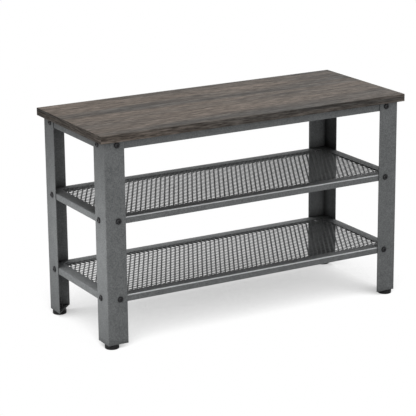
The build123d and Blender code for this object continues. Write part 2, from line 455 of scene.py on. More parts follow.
@dataclass(frozen=True)
class PowderCoat(Finish):
    """Baked hammer-texture paint on steel."""

    dark: Colour
    light: Colour
    fleck_scale: float
    rough: float
    gloss: float
    # Colour of the painted highlight along the front bends of the shelves
    painted_highlight: Colour
    # Reach of the painted shade in the joints and under the board; zero for none
    joint_shade_reach: float
    rough_swing: float = 0.06
    rub_colour: Colour = (0.3, 0.3, 0.3)
    rub_cover: float = 0.12
    # Painted shade in the joints and under the board: its colour, its greatest cover, the open share at which it is
    # full, and its samples
    joint_shade_colour: Colour = (0.02, 0.02, 0.02)
    joint_shade_cover: float = 0.85
    joint_shade_full: float = 0.35
    joint_shade_samples: int = 8
    # Height below which the painted highlight shows, how it fades, which bends take it and how patchy it is
    painted_highlight_below: float = 390.0 * MM
    painted_highlight_fade: float = 10.0 * MM
    bend_facing: Span = (0.1, 0.3)
    painted_highlight_cover: Span = (0.75, 1.0)
    pebble: float = 0.12 * MM
    pebble_shown: float = 0.3

    def paint(self, sheet: NodeSheet, place: bpy.types.NodeSocket, skin: bpy.types.NodeInputs) -> None:
        """Wires the coat: flecked colour, a painted highlight on the front bends of the shelves, painted shade in the
        joints and under the board, uneven gloss and a pebbled skin.

        Args:
            sheet: The material's nodes.
            place: Object coordinates.
            skin: Inputs of the material's Principled BSDF.
        """
        fleck = FLECK.place(sheet, place, fleck_scale=self.fleck_scale, cloud_scale=60.0, cloud_weight=0.2)
        rub = RUB.place(sheet, place, rub_scale=45.0, rub_amount=0.6)["Mask"]
        colour = sheet.mix(fleck["Tone"], rgba(self.dark), rgba(self.light))
        colour = sheet.mix(sheet.math("MULTIPLY", rub, self.rub_cover), colour, rgba(self.rub_colour))
        # Painted highlight: the front bends of the shelves are painted pale
        colour = sheet.mix(self.painted_bend_highlight(sheet, place, fleck["Tone"]), colour, rgba(self.painted_highlight))
        # Painted shade: darker in the joints and under the board, by ambient occlusion
        if self.joint_shade_reach:
            colour = sheet.mix(self.painted_joint_shade(sheet), colour, rgba(self.joint_shade_colour))
        sheet.feed(skin["Base Color"], colour)
        dull, bright = self.rough + self.rough_swing, self.rough - self.rough_swing
        sheet.feed(skin["Roughness"], sheet.span(fleck["Tone"], 0.0, 1.0, dull, bright))
        sheet.feed(skin["Normal"], sheet.bump(fleck["Height"], self.pebble_shown, self.pebble))
        skin["Specular IOR Level"].default_value = self.gloss

    def painted_joint_shade(self, sheet: NodeSheet) -> bpy.types.NodeSocket:
        """Mask of the painted shade in the joints and along the strip under the board, where little of the surround is
        open.

        Args:
            sheet: The material's nodes.

        Returns:
            The mask's socket.
        """
        feeds = {"Distance": self.joint_shade_reach}
        bare = sheet.node("ShaderNodeAmbientOcclusion", feeds, samples=self.joint_shade_samples).outputs["AO"]
        return sheet.span(bare, self.joint_shade_full, 1.0, self.joint_shade_cover, 0.0)

    def painted_bend_highlight(self, sheet: NodeSheet, place: Feed, tone: Feed) -> bpy.types.NodeSocket:
        """Mask of the painted highlight: pale paint on the bends along the front of the shelves.

        Args:
            sheet: The material's nodes.
            place: Object coordinates.
            tone: Fleck of the coat, which breaks the painted highlight up.

        Returns:
            The mask's socket.
        """
        normal = sheet.node("ShaderNodeTexCoord").outputs["Normal"]
        facing = sheet.node("ShaderNodeSeparateXYZ", {0: normal}).outputs
        height = sheet.node("ShaderNodeSeparateXYZ", {0: place}).outputs["Z"]
        least, most = self.bend_facing
        bend = sheet.math("MULTIPLY", sheet.span(facing["Z"], least, most), sheet.span(facing["Y"], -least, -most))
        shelf = sheet.span(height, self.painted_highlight_below, self.painted_highlight_below + self.painted_highlight_fade, 1.0, 0.0)
        patchy = sheet.span(tone, 0.0, 1.0, *self.painted_highlight_cover)
        return sheet.math("MULTIPLY", sheet.math("MULTIPLY", bend, shelf), patchy)


@dataclass(frozen=True)
class BlackOxide(Finish):
    """Blackened steel of the button-headed screws, the foot studs and their nuts."""

    dark: Colour
    light: Colour
    rough: Span = (0.48, 0.34)
    relief: float = 0.03 * MM
    relief_shown: float = 0.12
    gloss: float = 0.15

    def paint(self, sheet: NodeSheet, place: bpy.types.NodeSocket, skin: bpy.types.NodeInputs) -> None:
        """Wires a near-black skin with a slight oily unevenness.

        Args:
            sheet: The material's nodes.
            place: Object coordinates.
            skin: Inputs of the material's Principled BSDF.
        """
        fleck = FLECK.place(sheet, place, fleck_scale=1400.0, cloud_scale=260.0, cloud_weight=0.5)
        sheet.feed(skin["Base Color"], sheet.mix(fleck["Tone"], rgba(self.dark), rgba(self.light)))
        sheet.feed(skin["Roughness"], sheet.span(fleck["Tone"], 0.0, 1.0, *self.rough))
        sheet.feed(skin["Normal"], sheet.bump(fleck["Height"], self.relief_shown, self.relief))
        skin["Specular IOR Level"].default_value = self.gloss


@dataclass(frozen=True)
class ZincPlate(Finish):
    """Bright zinc on the rail nuts and wood screws."""

    dull: Colour
    bright: Colour
    rough: Span = (0.42, 0.28)
    rub_polish: float = 0.1
    relief: float = 0.02 * MM
    relief_shown: float = 0.1

    def paint(self, sheet: NodeSheet, place: bpy.types.NodeSocket, skin: bpy.types.NodeInputs) -> None:
        """Wires a spangled metal with rubbed patches.

        Args:
            sheet: The material's nodes.
            place: Object coordinates.
            skin: Inputs of the material's Principled BSDF.
        """
        fleck = FLECK.place(sheet, place, fleck_scale=900.0, cloud_scale=220.0, cloud_weight=0.6)
        rub = RUB.place(sheet, place, rub_scale=160.0, rub_amount=0.8)["Mask"]
        sheet.feed(skin["Base Color"], sheet.mix(fleck["Tone"], rgba(self.dull), rgba(self.bright)))
        rough = sheet.span(fleck["Tone"], 0.0, 1.0, *self.rough)
        sheet.feed(skin["Roughness"], sheet.math("SUBTRACT", rough, sheet.math("MULTIPLY", rub, self.rub_polish)))
        sheet.feed(skin["Normal"], sheet.bump(fleck["Height"], self.relief_shown, self.relief))
        skin["Metallic"].default_value = 1.0


@dataclass(frozen=True)
class MouldedPlastic(Finish):
    """Black moulded plastic of the foot pads."""

    dark: Colour
    light: Colour
    scuff: Colour = (0.12, 0.12, 0.12)
    scuff_cover: float = 0.2
    rough: Span = (0.62, 0.48)
    relief: float = 0.06 * MM
    relief_shown: float = 0.25
    gloss: float = 0.1

    def paint(self, sheet: NodeSheet, place: bpy.types.NodeSocket, skin: bpy.types.NodeInputs) -> None:
        """Wires a spark-eroded moulded skin with pale scuffs.

        Args:
            sheet: The material's nodes.
            place: Object coordinates.
            skin: Inputs of the material's Principled BSDF.
        """
        fleck = FLECK.place(sheet, place, fleck_scale=1100.0, cloud_scale=140.0, cloud_weight=0.4)
        rub = RUB.place(sheet, place, rub_scale=120.0, rub_amount=0.7)["Mask"]
        colour = sheet.mix(fleck["Tone"], rgba(self.dark), rgba(self.light))
        colour = sheet.mix(sheet.math("MULTIPLY", rub, self.scuff_cover), colour, rgba(self.scuff))
        sheet.feed(skin["Base Color"], colour)
        sheet.feed(skin["Roughness"], sheet.span(fleck["Tone"], 0.0, 1.0, *self.rough))
        sheet.feed(skin["Normal"], sheet.bump(fleck["Height"], self.relief_shown, self.relief))
        skin["Specular IOR Level"].default_value = self.gloss


WOOD = WoodLaminate("wood_laminate", brown=(0.14, 0.117, 0.1), grey=(0.08, 0.075, 0.07), pore=(0.024, 0.02, 0.017))
# Each coat's pale bend colour is a painted highlight; the frame's joint reach gives painted shade in its joints and
# under the board
FRAME_PAINT = PowderCoat(
    "frame_paint", dark=(0.118, 0.1235, 0.125), light=(0.222, 0.229, 0.231), fleck_scale=420.0, rough=0.55, gloss=0.03,
    painted_highlight=(0.84, 0.86, 0.87), joint_shade_reach=22.0 * MM,
)
MESH_PAINT = PowderCoat(
    "mesh_paint", dark=(0.12, 0.125, 0.126), light=(0.21, 0.216, 0.218), fleck_scale=700.0, rough=0.6, gloss=0.03,
    painted_highlight=(0.3, 0.3, 0.3), joint_shade_reach=0.0,
)
SCREW_BLACK = BlackOxide("black_screws", dark=(0.012, 0.012, 0.013), light=(0.026, 0.026, 0.028))
ZINC = ZincPlate("zinc_steel", dull=(0.42, 0.42, 0.43), bright=(0.62, 0.62, 0.63))
FOOT_PLASTIC = MouldedPlastic("foot_plastic", dark=(0.012, 0.012, 0.012), light=(0.024, 0.024, 0.025))


def loft(name: str, rings: Sequence[Ring], sharp_degrees: float = 40.0) -> bpy.types.Mesh:
    """Closed skin over a row of rings, capped at both ends.

    Args:
        name: Name of the mesh.
        rings: Rings with the same number of points, in order.
        sharp_degrees: Angle past which an edge shows as an edge.

    Returns:
        The mesh, with its faces outwards.
    """
    work = bmesh.new()
    rows = [[work.verts.new(point) for point in ring] for ring in rings]
    count = len(rows[0])
    for lower, upper in zip(rows, rows[1:]):
        for i in range(count):
            j = (i + 1) % count
            work.faces.new((lower[i], lower[j], upper[j], upper[i]))
    work.faces.new(list(reversed(rows[0])))
    work.faces.new(rows[-1])
    bmesh.ops.recalc_face_normals(work, faces=work.faces)
    mesh = bpy.data.meshes.new(name)
    work.to_mesh(mesh)
    work.free()
    mesh.polygons.foreach_set("use_smooth", [True] * len(mesh.polygons))
    mesh.set_sharp_from_angle(angle=math.radians(sharp_degrees))
    return mesh


def circle(radius: float, height: float, count: int, centre: tuple[float, float] = (0.0, 0.0)) -> Ring:
    """Ring of points round an upright axis.

    Args:
        radius: Radius of the ring.
        height: Its Z.
        count: Number of points.
        centre: X and Y of the axis.

    Returns:
        The points in order.
    """
    return shaped_ring(lambda angle: radius, height, count, centre)


def shaped_ring(
    reach: Callable[[float], float], height: float, count: int, centre: tuple[float, float] = (0.0, 0.0),
) -> Ring:
    """Ring of points whose distance from an upright axis follows a rule.

    Args:
        reach: Distance from the axis at an angle in radians.
        height: Z of the ring.
        count: Number of points.
        centre: X and Y of the axis.

    Returns:
        The points in order.
    """
    angles = (2 * math.pi * i / count for i in range(count))
    return [Vector((centre[0] + reach(a) * math.cos(a), centre[1] + reach(a) * math.sin(a), height)) for a in angles]


def thread_reach(radius: float, pitch: float, depth: float, height: float) -> Callable[[float], float]:
    """Rule for the radius of a screw thread at one height.

    Args:
        radius: Radius of the crest.
        pitch: Rise of one turn.
        depth: Depth of the groove.
        height: Height along the screw.

    Returns:
        Radius as a function of the angle.
    """
    def reach(angle: float) -> float:
        """Radius at an angle: a crest that drops to a root and climbs back once a turn."""
        turn = (height / pitch - angle / (2 * math.pi)) % 1.0
        return radius - depth * (1.0 - abs(2.0 * turn - 1.0))

    return reach


def add_piece(name: str, mesh: bpy.types.Mesh) -> bpy.types.Object:
    """Puts a mesh into the scene as an object at the origin.

    Args:
        name: Name of the object.
        mesh: Its mesh.

    Returns:
        The object.
    """
    piece = bpy.data.objects.new(name, mesh)
    bpy.context.scene.collection.objects.link(piece)
    return piece


def hand_over(piece: bpy.types.Object, finish: Finish, body: str, nodes: Iterable[str]) -> None:
    """Gives a finished piece its material, its body and the CAD nodes that it stands for.

    Args:
        piece: The finished object, at the origin.
        finish: Its finish, named as the record's slot.
        body: CAD body that it moves with.
        nodes: CAD nodes that it replaces.
    """
    if not piece.data.materials or piece.data.materials[0] is None:
        piece.data.materials.clear()
        piece.data.materials.append(finish.material())
    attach(piece, body)
    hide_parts(*nodes)
    log.info("%s: %d faces, in place of %s", piece.name, len(piece.data.polygons), ", ".join(nodes))


def dress_nodes(names: Iterable[str], finish: Finish) -> None:
    """Gives CAD nodes that stay in view their finish.

    Args:
        names: The nodes.
        finish: Their finish.
    """
    for name in names:
        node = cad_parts[name]
        node.data.materials.clear()
        node.data.materials.append(finish.material())
        log.info("%s: %s", name, finish.slot)


class LayoutTree:
    """A Geometry Nodes tree with named inputs, run on one object and then turned into a plain mesh."""

    def __init__(self, name: str, inputs: dict[str, str]) -> None:
        """Makes an empty tree.

        Args:
            name: Name of the tree.
            inputs: Socket type of each input after the geometry, by name.
        """
        self.tree = bpy.data.node_groups.new(name, "GeometryNodeTree")
        face = self.tree.interface
        face.new_socket("Geometry", in_out="INPUT", socket_type="NodeSocketGeometry")
        self.keys = {n: face.new_socket(n, in_out="INPUT", socket_type=k).identifier for n, k in inputs.items()}
        face.new_socket("Geometry", in_out="OUTPUT", socket_type="NodeSocketGeometry")
        self.sheet = NodeSheet(self.tree)
        self.given = self.sheet.node("NodeGroupInput").outputs

    def close(self, instances: bpy.types.NodeSocket, finish: str) -> None:
        """Ends the tree: the instances made real, then their material.

        Args:
            instances: Geometry with the instances.
            finish: Name of the input that holds the material.
        """
        real = self.sheet.node("GeometryNodeRealizeInstances", {"Geometry": instances}).outputs[0]
        painted = self.sheet.node("GeometryNodeSetMaterial", {"Geometry": real, "Material": self.given[finish]})
        self.sheet.node("NodeGroupOutput", {0: painted.outputs[0]})

    def run(self, piece: bpy.types.Object, values: dict[str, Feed]) -> None:
        """Runs the tree on an object and keeps its result as the object's plain mesh.

        Args:
            piece: The object, whose own mesh goes into the tree.
            values: The inputs by name.
        """
        layout = piece.modifiers.new(self.tree.name, "NODES")
        layout.node_group = self.tree
        for name, value in values.items():
            layout[self.keys[name]] = value
        bpy.context.view_layer.update()
        shown = piece.evaluated_get(bpy.context.evaluated_depsgraph_get())
        mesh = bpy.data.meshes.new_from_object(shown)
        piece.modifiers.remove(layout)
        piece.data = mesh


@dataclass
class SeatBoard:
    """The seat: one laminated board."""

    finish: WoodLaminate

    def dress(self) -> None:
        """Gives the board its wood print."""
        dress_nodes(["top_board"], self.finish)


@dataclass
class SteelFrame:
    """Legs, rails and foot plates of bent steel, with the nuts that are welded to them."""

    finish: PowderCoat
    nut_finish: ZincPlate
    foot_nut_finish: BlackOxide

    def dress(self) -> None:
        """Paints the steel, plates the nuts behind the rails and blackens those at the feet."""
        rails = [level.rail(side) for level in Level for side in Side]
        legs = [corner.node(piece) for corner in Corner for piece in ("leg", "foot_plate")]
        dress_nodes(rails + legs, self.finish)
        dress_nodes([f"{level.value}_frame_nuts" for level in Level], self.nut_finish)
        dress_nodes([corner.node("foot_nut") for corner in Corner], self.foot_nut_finish)


@dataclass
class MeshShelf:
    """Expanded steel mesh under the ledges of one shelf frame."""

    level: Level
    finish: PowderCoat
    short_way: float = 11.15 * MM
    long_way: float = 20.2 * MM
    strand: float = 2.0 * MM
    depth: float = 1.5 * MM
    edge_ease: float = 0.2 * MM
    corner_share: float = 0.28
    corner_draw: float = 0.6
    weld_gap: float = 0.02 * MM
    shear_gap: float = 0.002 * MM

    @property
    def node(self) -> str:
        """CAD node of the sheet."""
        return f"{self.level.value}_mesh"

    def build(self) -> bpy.types.Object:
        """Lays the cells over the sheet and trims them to it.

        Returns:
            The finished mesh.
        """
        low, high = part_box(self.node)
        size = high - low
        cell = add_piece("mesh_cell", self.cell_mesh())
        piece = add_piece(f"{self.level.value}_expanded_mesh", bpy.data.meshes.new("cells"))
        self.layout().run(piece, {
            "Cell": cell, "Columns": math.ceil(size.x / self.short_way), "Rows": math.ceil(size.y / self.long_way),
            "Short Way": self.short_way, "Long Way": self.long_way, "Level": high.z - self.depth / 2,
            "Paint": self.finish.material(),
        })
        bpy.data.objects.remove(cell)
        self.trim(piece.data, low, high)
        hand_over(piece, self.finish, "frame", [self.node])
        return piece

    def cell_mesh(self) -> bpy.types.Mesh:
        """One diamond of the mesh: half of each strand round one opening.

        Returns:
            An open ring whose outer edge meets the next diamonds.
        """
        half_x, half_y = self.short_way / 2, self.long_way / 2
        reach = half_x * half_y / math.hypot(half_x, half_y)
        clear = reach - self.strand / 2
        outer = self.diamond(half_x, half_y)
        opening = self.diamond(half_x, half_y, self.corner_draw, clear / reach)
        eased = self.diamond(half_x, half_y, self.corner_draw, (clear + self.edge_ease) / reach)
        top, bottom = self.depth / 2, -self.depth / 2
        rows = ((outer, top), (eased, top), (opening, top - self.edge_ease), (opening, bottom), (outer, bottom))
        work = bmesh.new()
        rings = [[work.verts.new((x, y, z)) for x, y in outline] for outline, z in rows]
        for upper, lower in zip(rings, rings[1:]):
            for i in range(len(upper)):
                j = (i + 1) % len(upper)
                work.faces.new((upper[i], upper[j], lower[j], lower[i]))
        mesh = bpy.data.meshes.new("mesh_cell")
        bmesh.ops.reverse_faces(work, faces=work.faces)
        work.to_mesh(mesh)
        work.free()
        return mesh

    def diamond(
        self, half_x: float, half_y: float, draw: float = 0.0, scale: float = 1.0,
    ) -> list[tuple[float, float]]:
        """Twelve points round a diamond, three to a corner.

        Args:
            half_x: Half its width.
            half_y: Half its length.
            draw: Share by which the tips are drawn in, from 0 for a sharp corner.
            scale: Size against the whole diamond.

        Returns:
            The points in order.
        """
        tips = [Vector((half_x, 0)), Vector((0, half_y)), Vector((-half_x, 0)), Vector((0, -half_y))]
        points = []
        for i, tip in enumerate(tips):
            before, after = tips[i - 1], tips[(i + 1) % 4]
            first, last = tip.lerp(before, self.corner_share), tip.lerp(after, self.corner_share)
            points += [first, tip.lerp((first + last) / 2, draw), last]
        return [tuple(point * scale) for point in points]

    def layout(self) -> LayoutTree:
        """Tree that sets the cells on two lattices, one between the other, and joins their edges.

        Returns:
            The tree.
        """
        tree = LayoutTree("expanded_mesh_layout", {
            "Cell": "NodeSocketObject", "Columns": "NodeSocketInt", "Rows": "NodeSocketInt",
            "Short Way": "NodeSocketFloat", "Long Way": "NodeSocketFloat", "Level": "NodeSocketFloat",
            "Paint": "NodeSocketMaterial",
        })
        sheet, given = tree.sheet, tree.given
        joined = sheet.node("GeometryNodeJoinGeometry")
        for extra in (0, 1):
            columns = sheet.math("ADD", given["Columns"], extra)
            rows = sheet.math("ADD", given["Rows"], extra)
            width = sheet.math("MULTIPLY", sheet.math("SUBTRACT", columns, 1.0), given["Short Way"])
            length = sheet.math("MULTIPLY", sheet.math("SUBTRACT", rows, 1.0), given["Long Way"])
            feeds = {"Size X": width, "Size Y": length, "Vertices X": columns, "Vertices Y": rows}
            sheet.feed(joined.inputs[0], sheet.node("GeometryNodeMeshGrid", feeds).outputs["Mesh"])
        cell = sheet.node("GeometryNodeObjectInfo", {"Object": given["Cell"]}).outputs["Geometry"]
        points = {"Points": joined.outputs[0], "Instance": cell}
        placed = sheet.node("GeometryNodeInstanceOnPoints", points).outputs[0]
        height = sheet.node("ShaderNodeCombineXYZ", {2: given["Level"]}).outputs[0]
        raised = sheet.node("GeometryNodeTransform", {"Geometry": placed, "Translation": height}).outputs[0]
        tree.close(raised, "Paint")
        return tree

    def trim(self, mesh: bpy.types.Mesh, low: Vector, high: Vector) -> None:
        """Joins the cells into one sheet and shears it off along the edges of the CAD sheet.

        Args:
            mesh: The laid cells.
            low: Lowest corner of the sheet.
            high: Its highest corner.
        """
        work = bmesh.new()
        work.from_mesh(mesh)
        bmesh.ops.remove_doubles(work, verts=work.verts, dist=self.weld_gap)
        for corner, normal in ((low, (-1, 0, 0)), (low, (0, -1, 0)), (high, (1, 0, 0)), (high, (0, 1, 0))):
            everything = work.verts[:] + work.edges[:] + work.faces[:]
            cut = bmesh.ops.bisect_plane(
                work, geom=everything, plane_co=corner, plane_no=normal, dist=self.shear_gap, clear_outer=True,
            )
            edges = [e for e in cut["geom_cut"] if isinstance(e, bmesh.types.BMEdge)]
            bmesh.ops.holes_fill(work, edges=edges, sides=0)
        bmesh.ops.recalc_face_normals(work, faces=work.faces)
        work.to_mesh(mesh)
        work.free()


@dataclass(frozen=True)
class Fastener:
    """A screw with its seat at the origin and its head towards +Z.

    A share is taken of the radius or height that it belongs to.
    """

    name: str
    drive: Drive
    head_diameter: float
    head_height: float
    drive_size: float
    drive_depth: float
    shank_diameter: float
    shank_length: float
    thread_pitch: float
    thread_share: float = 0.12
    tip_share: float = 0.72
    underside_share: float = 0.97
    rim_share: float = 0.25
    flat_share: float = 1.35
    mouth_share: float = 1.06
    mouth_height: float = 0.95
    floor_share: float = 0.96
    steps_a_turn: int = 4
    dome_steps: int = 5
    sides: int = 36
    sharp_degrees: float = 50.0

    def mesh(self) -> bpy.types.Mesh:
        """Domed head with its recess, over a threaded shank.

        Returns:
            The closed mesh.
        """
        return loft(self.name, self.shank_rings() + self.dome_rings() + self.recess_rings(), self.sharp_degrees)

    def shank_rings(self) -> list[Ring]:
        """Rings of the shank from its tip to the seat.

        Returns:
            The rings in order.
        """
        shank = self.shank_diameter / 2
        rings = [circle(shank * self.tip_share, -self.shank_length, self.sides)]
        steps = round(self.steps_a_turn * self.shank_length / self.thread_pitch)
        for i in range(1, steps):
            z = -self.shank_length * (1 - i / steps)
            rule = thread_reach(shank, self.thread_pitch, self.thread_share * shank, z)
            rings.append(shaped_ring(rule, z, self.sides))
        return rings + [circle(shank, 0.0, self.sides)]

    def dome_rings(self) -> list[Ring]:
        """Rings of the head from its underside to its flat.

        Returns:
            The rings in order.
        """
        head = self.head_diameter / 2
        rim, flat = self.rim_share * self.head_height, self.drive_size * self.flat_share
        rings = [circle(head * self.underside_share, 0.0, self.sides)]
        for i in range(self.dome_steps + 1):
            turn = math.pi / 2 * i / self.dome_steps
            radius = flat + (head - flat) * math.cos(turn)
            rings.append(circle(radius, rim + (self.head_height - rim) * math.sin(turn), self.sides))
        return rings

    def recess_rings(self) -> list[Ring]:
        """Rings of the recess from its mouth to its floor.

        Returns:
            The rings in order.
        """
        steps = (
            (self.mouth_share, self.head_height),
            (1.0, self.head_height * self.mouth_height),
            (self.floor_share, self.head_height - self.drive_depth),
        )
        return [shaped_ring(self.recess_wall(share), z, self.sides) for share, z in steps]

    def recess_wall(self, share: float) -> Callable[[float], float]:
        """Rule for the wall of the recess, at a share of its full size."""
        return lambda angle: self.drive.radius(angle, self.drive_size) * share


BUTTON_SCREW = Fastener(
    "button_head_screw", Drive.HEX_SOCKET, head_diameter=12.6 * MM, head_height=3.2 * MM,
    drive_size=2.0 * MM, drive_depth=2.0 * MM, shank_diameter=6.0 * MM, shank_length=10.0 * MM,
    thread_pitch=1.0 * MM,
)
PAN_SCREW = Fastener(
    "pan_head_screw", Drive.CROSS, head_diameter=8.0 * MM, head_height=2.4 * MM,
    drive_size=2.1 * MM, drive_depth=1.5 * MM, shank_diameter=4.0 * MM, shank_length=13.0 * MM,
    thread_pitch=1.6 * MM,
)


def fastener_layout() -> LayoutTree:
    """Tree that stands one fastener on every point, along the point's own direction.

    Returns:
        The tree.
    """
    tree = LayoutTree("fastener_layout", {"Fastener": "NodeSocketObject", "Plating": "NodeSocketMaterial"})
    sheet, given = tree.sheet, tree.given
    outward = sheet.node("GeometryNodeInputNamedAttribute", {"Name": "outward"}, data_type="FLOAT_VECTOR")
    turn = sheet.node("FunctionNodeAlignRotationToVector", {"Vector": outward.outputs[0]}, axis="Z")
    shape = sheet.node("GeometryNodeObjectInfo", {"Object": given["Fastener"]}).outputs["Geometry"]
    points = {"Points": given["Geometry"], "Instance": shape, "Rotation": turn.outputs[0]}
    tree.close(sheet.node("GeometryNodeInstanceOnPoints", points).outputs[0], "Plating")
    return tree


@dataclass
class FastenerSet:
    """A set of like fasteners, each on its own seat, in place of one CAD node."""

    name: str
    node: str
    fastener: Fastener
    finish: Finish
    seats: list[tuple[Vector, Vector]]

    def build(self, layout: LayoutTree) -> bpy.types.Object:
        """Sets the fasteners on their seats.

        Args:
            layout: Tree that places them.

        Returns:
            The set as one piece.
        """
        points = bpy.data.meshes.new(f"{self.name}_seats")
        points.from_pydata([seat for seat, _ in self.seats], [], [])
        outward = points.attributes.new("outward", "FLOAT_VECTOR", "POINT")
        outward.data.foreach_set("vector", [value for _, way in self.seats for value in way])
        pattern = add_piece(self.fastener.name, self.fastener.mesh())
        piece = add_piece(self.name, points)
        layout.run(piece, {"Fastener": pattern, "Plating": self.finish.material()})
        bpy.data.objects.remove(pattern)
        hand_over(piece, self.finish, "frame", [self.node])
        return piece


@dataclass
class Fixings:
    """Every screw of the bench: two to a leg at each frame, and those up into the board."""

    screw_finish: BlackOxide
    board_screw_finish: ZincPlate
    from_corner: float = 29.5 * MM
    board_screw_spacing: float = 240.0 * MM

    def build(self) -> None:
        """Sets the frame screws at each level, then the board screws."""
        layout = fastener_layout()
        for level in Level:
            node = f"{level.value}_frame_screws"
            name = f"{level.value}_button_screws"
            FastenerSet(name, node, BUTTON_SCREW, self.screw_finish, self.frame_seats(level)).build(layout)
        seats = self.board_seats()
        FastenerSet("board_pan_screws", "board_screws", PAN_SCREW, self.board_screw_finish, seats).build(layout)

    def frame_seats(self, level: Level) -> list[tuple[Vector, Vector]]:
        """Seats on the outer faces of the legs at one frame.

        Args:
            level: The frame.

        Returns:
            Each seat with its outward direction.
        """
        low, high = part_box(level.rail(Side.FRONT))
        z = (low.z + high.z) / 2
        seats = []
        for corner in Corner:
            sign_x, sign_y = corner.value
            x, y = corner.outer(*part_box(corner.node("leg")))
            seats.append((Vector((x - sign_x * self.from_corner, y, z)), Vector((0, sign_y, 0))))
            seats.append((Vector((x, y - sign_y * self.from_corner, z)), Vector((sign_x, 0, 0))))
        return seats

    def board_seats(self) -> list[tuple[Vector, Vector]]:
        """Seats under the ledges of the top rails.

        Returns:
            Each seat with its outward direction, which is down.
        """
        head_low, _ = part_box("board_screws")
        z = head_low.z + PAN_SCREW.head_height
        seats = []
        for side in (Side.FRONT, Side.REAR):
            low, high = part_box(Level.TOP.rail(side))
            for step in (-1, 0, 1):
                seats.append(Vector((step * self.board_screw_spacing, (low.y + high.y) / 2, z)))
        for side in (Side.LEFT, Side.RIGHT):
            low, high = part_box(Level.TOP.rail(side))
            seats.append(Vector(((low.x + high.x) / 2, 0.0, z)))
        return [(seat, Vector((0, 0, -1))) for seat in seats]


@dataclass
class LevellingFoot:
    """A screw-in foot: a moulded pad on a threaded stud."""

    corner: Corner
    pad_finish: MouldedPlastic
    stud_finish: BlackOxide
    edge_round: float = 1.2 * MM
    top_bevel: float = 2.0 * MM
    shoulder_ease: tuple[float, float] = (0.3 * MM, 0.2 * MM)
    groove: float = 0.35 * MM
    groove_share: float = 0.5
    hollow: float = 0.6 * MM
    hollow_share: float = 0.55
    tread_share: float = 0.62
    seat_radius: float = 4.05 * MM
    seat_bevel: float = 0.4 * MM
    seat_depth: float = 7.0 * MM
    round_steps: int = 4
    pad_sides: int = 64
    pad_sharp_degrees: float = 35.0
    thread_pitch: float = 1.25 * MM
    thread_depth: float = 0.55 * MM
    tip_length: float = 1.0 * MM
    tip_slope: float = 0.8
    steps_a_turn: int = 6
    stud_sides: int = 24
    stud_sharp_degrees: float = 60.0

    def build(self) -> None:
        """Makes the pad and the stud, both on the foot's own body."""
        body = self.corner.node("foot")
        pad, stud = self.corner.node("foot_pad"), self.corner.node("foot_stud")
        hand_over(add_piece(self.corner.node("moulded_pad"), self.pad_mesh(pad)), self.pad_finish, body, [pad])
        hand_over(add_piece(self.corner.node("threaded_stud"), self.stud_mesh(stud)), self.stud_finish, body, [stud])

    def pad_mesh(self, node: str) -> bpy.types.Mesh:
        """Straight-sided pad with a rounded tread, a parting groove and a seat for the stud.

        Args:
            node: CAD node that gives its place and size.

        Returns:
            The closed mesh.
        """
        low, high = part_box(node)
        centre = ((low.x + high.x) / 2, (low.y + high.y) / 2)
        radius, height = (high.x - low.x) / 2, high.z - low.z
        profile = [(radius * self.hollow_share, self.hollow), (radius * self.tread_share, 0.0)]
        inset = self.edge_round
        for i in range(self.round_steps + 1):
            turn = math.pi / 2 * i / self.round_steps
            profile.append((radius - inset + inset * math.sin(turn), inset - inset * math.cos(turn)))
        middle, groove = height * self.groove_share, self.groove
        profile += [(radius, middle - groove), (radius - groove, middle), (radius, middle + groove)]
        shoulder = height - self.top_bevel
        below, above = self.shoulder_ease
        profile += [(radius, shoulder - below), (radius - below, shoulder + above)]
        profile += [(radius - self.top_bevel, height), (self.seat_radius + self.seat_bevel, height)]
        profile += [(self.seat_radius, height - self.seat_bevel), (self.seat_radius, height - self.seat_depth)]
        rings = [circle(r, low.z + z, self.pad_sides, centre) for r, z in profile]
        return loft(node, rings, self.pad_sharp_degrees)

    def stud_mesh(self, node: str) -> bpy.types.Mesh:
        """Stud with a helical thread and a chamfered tip.

        Args:
            node: CAD node that gives its place and size.

        Returns:
            The closed mesh.
        """
        low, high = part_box(node)
        centre = ((low.x + high.x) / 2, (low.y + high.y) / 2)
        radius, length = (high.x - low.x) / 2, high.z - low.z
        steps = round(self.steps_a_turn * length / self.thread_pitch)
        rings = []
        for i in range(steps + 1):
            z = length * i / steps
            tip = max(0.0, z - (length - self.tip_length)) * self.tip_slope
            rule = thread_reach(radius - tip, self.thread_pitch, self.thread_depth, z)
            rings.append(shaped_ring(rule, low.z + z, self.stud_sides, centre))
        return loft(node, rings, self.stud_sharp_degrees)


def direction(azimuth: float, elevation: float) -> Vector:
    """Unit vector towards a place round the bench: azimuth 0 is the front, positive to the right, in degrees."""
    turn, lift = math.radians(azimuth), math.radians(elevation)
    return Vector((math.sin(turn) * math.cos(lift), -math.cos(turn) * math.cos(lift), math.sin(lift)))


@dataclass
class PhotoCamera:
    """Camera at the photograph's viewing angle, for a square frame."""

    azimuth: float = -29.586
    elevation: float = 16.125
    roll: float = -0.561
    distance: float = 3.9329
    aim: Triple = (-0.0312, 0.0144, 0.2186)
    lens: float = 156.15
    sensor: float = 36.0

    def build(self) -> bpy.types.Object:
        """Makes the camera and gives it to the scene.

        Returns:
            The camera.
        """
        optics = bpy.data.cameras.new("photo_camera")
        optics.sensor_fit = "AUTO"
        optics.sensor_width = self.sensor
        optics.lens = self.lens
        optics.dof.use_dof = False
        back = direction(self.azimuth, self.elevation)
        upright = back.to_track_quat("Z", "Y").to_matrix()
        camera = bpy.data.objects.new("photo_camera", optics)
        tilted = upright @ Matrix.Rotation(math.radians(self.roll), 3, "Z")
        camera.matrix_world = Matrix.Translation(Vector(self.aim) + back * self.distance) @ tilted.to_4x4()
        bpy.context.scene.collection.objects.link(camera)
        bpy.context.scene.camera = camera
        return camera


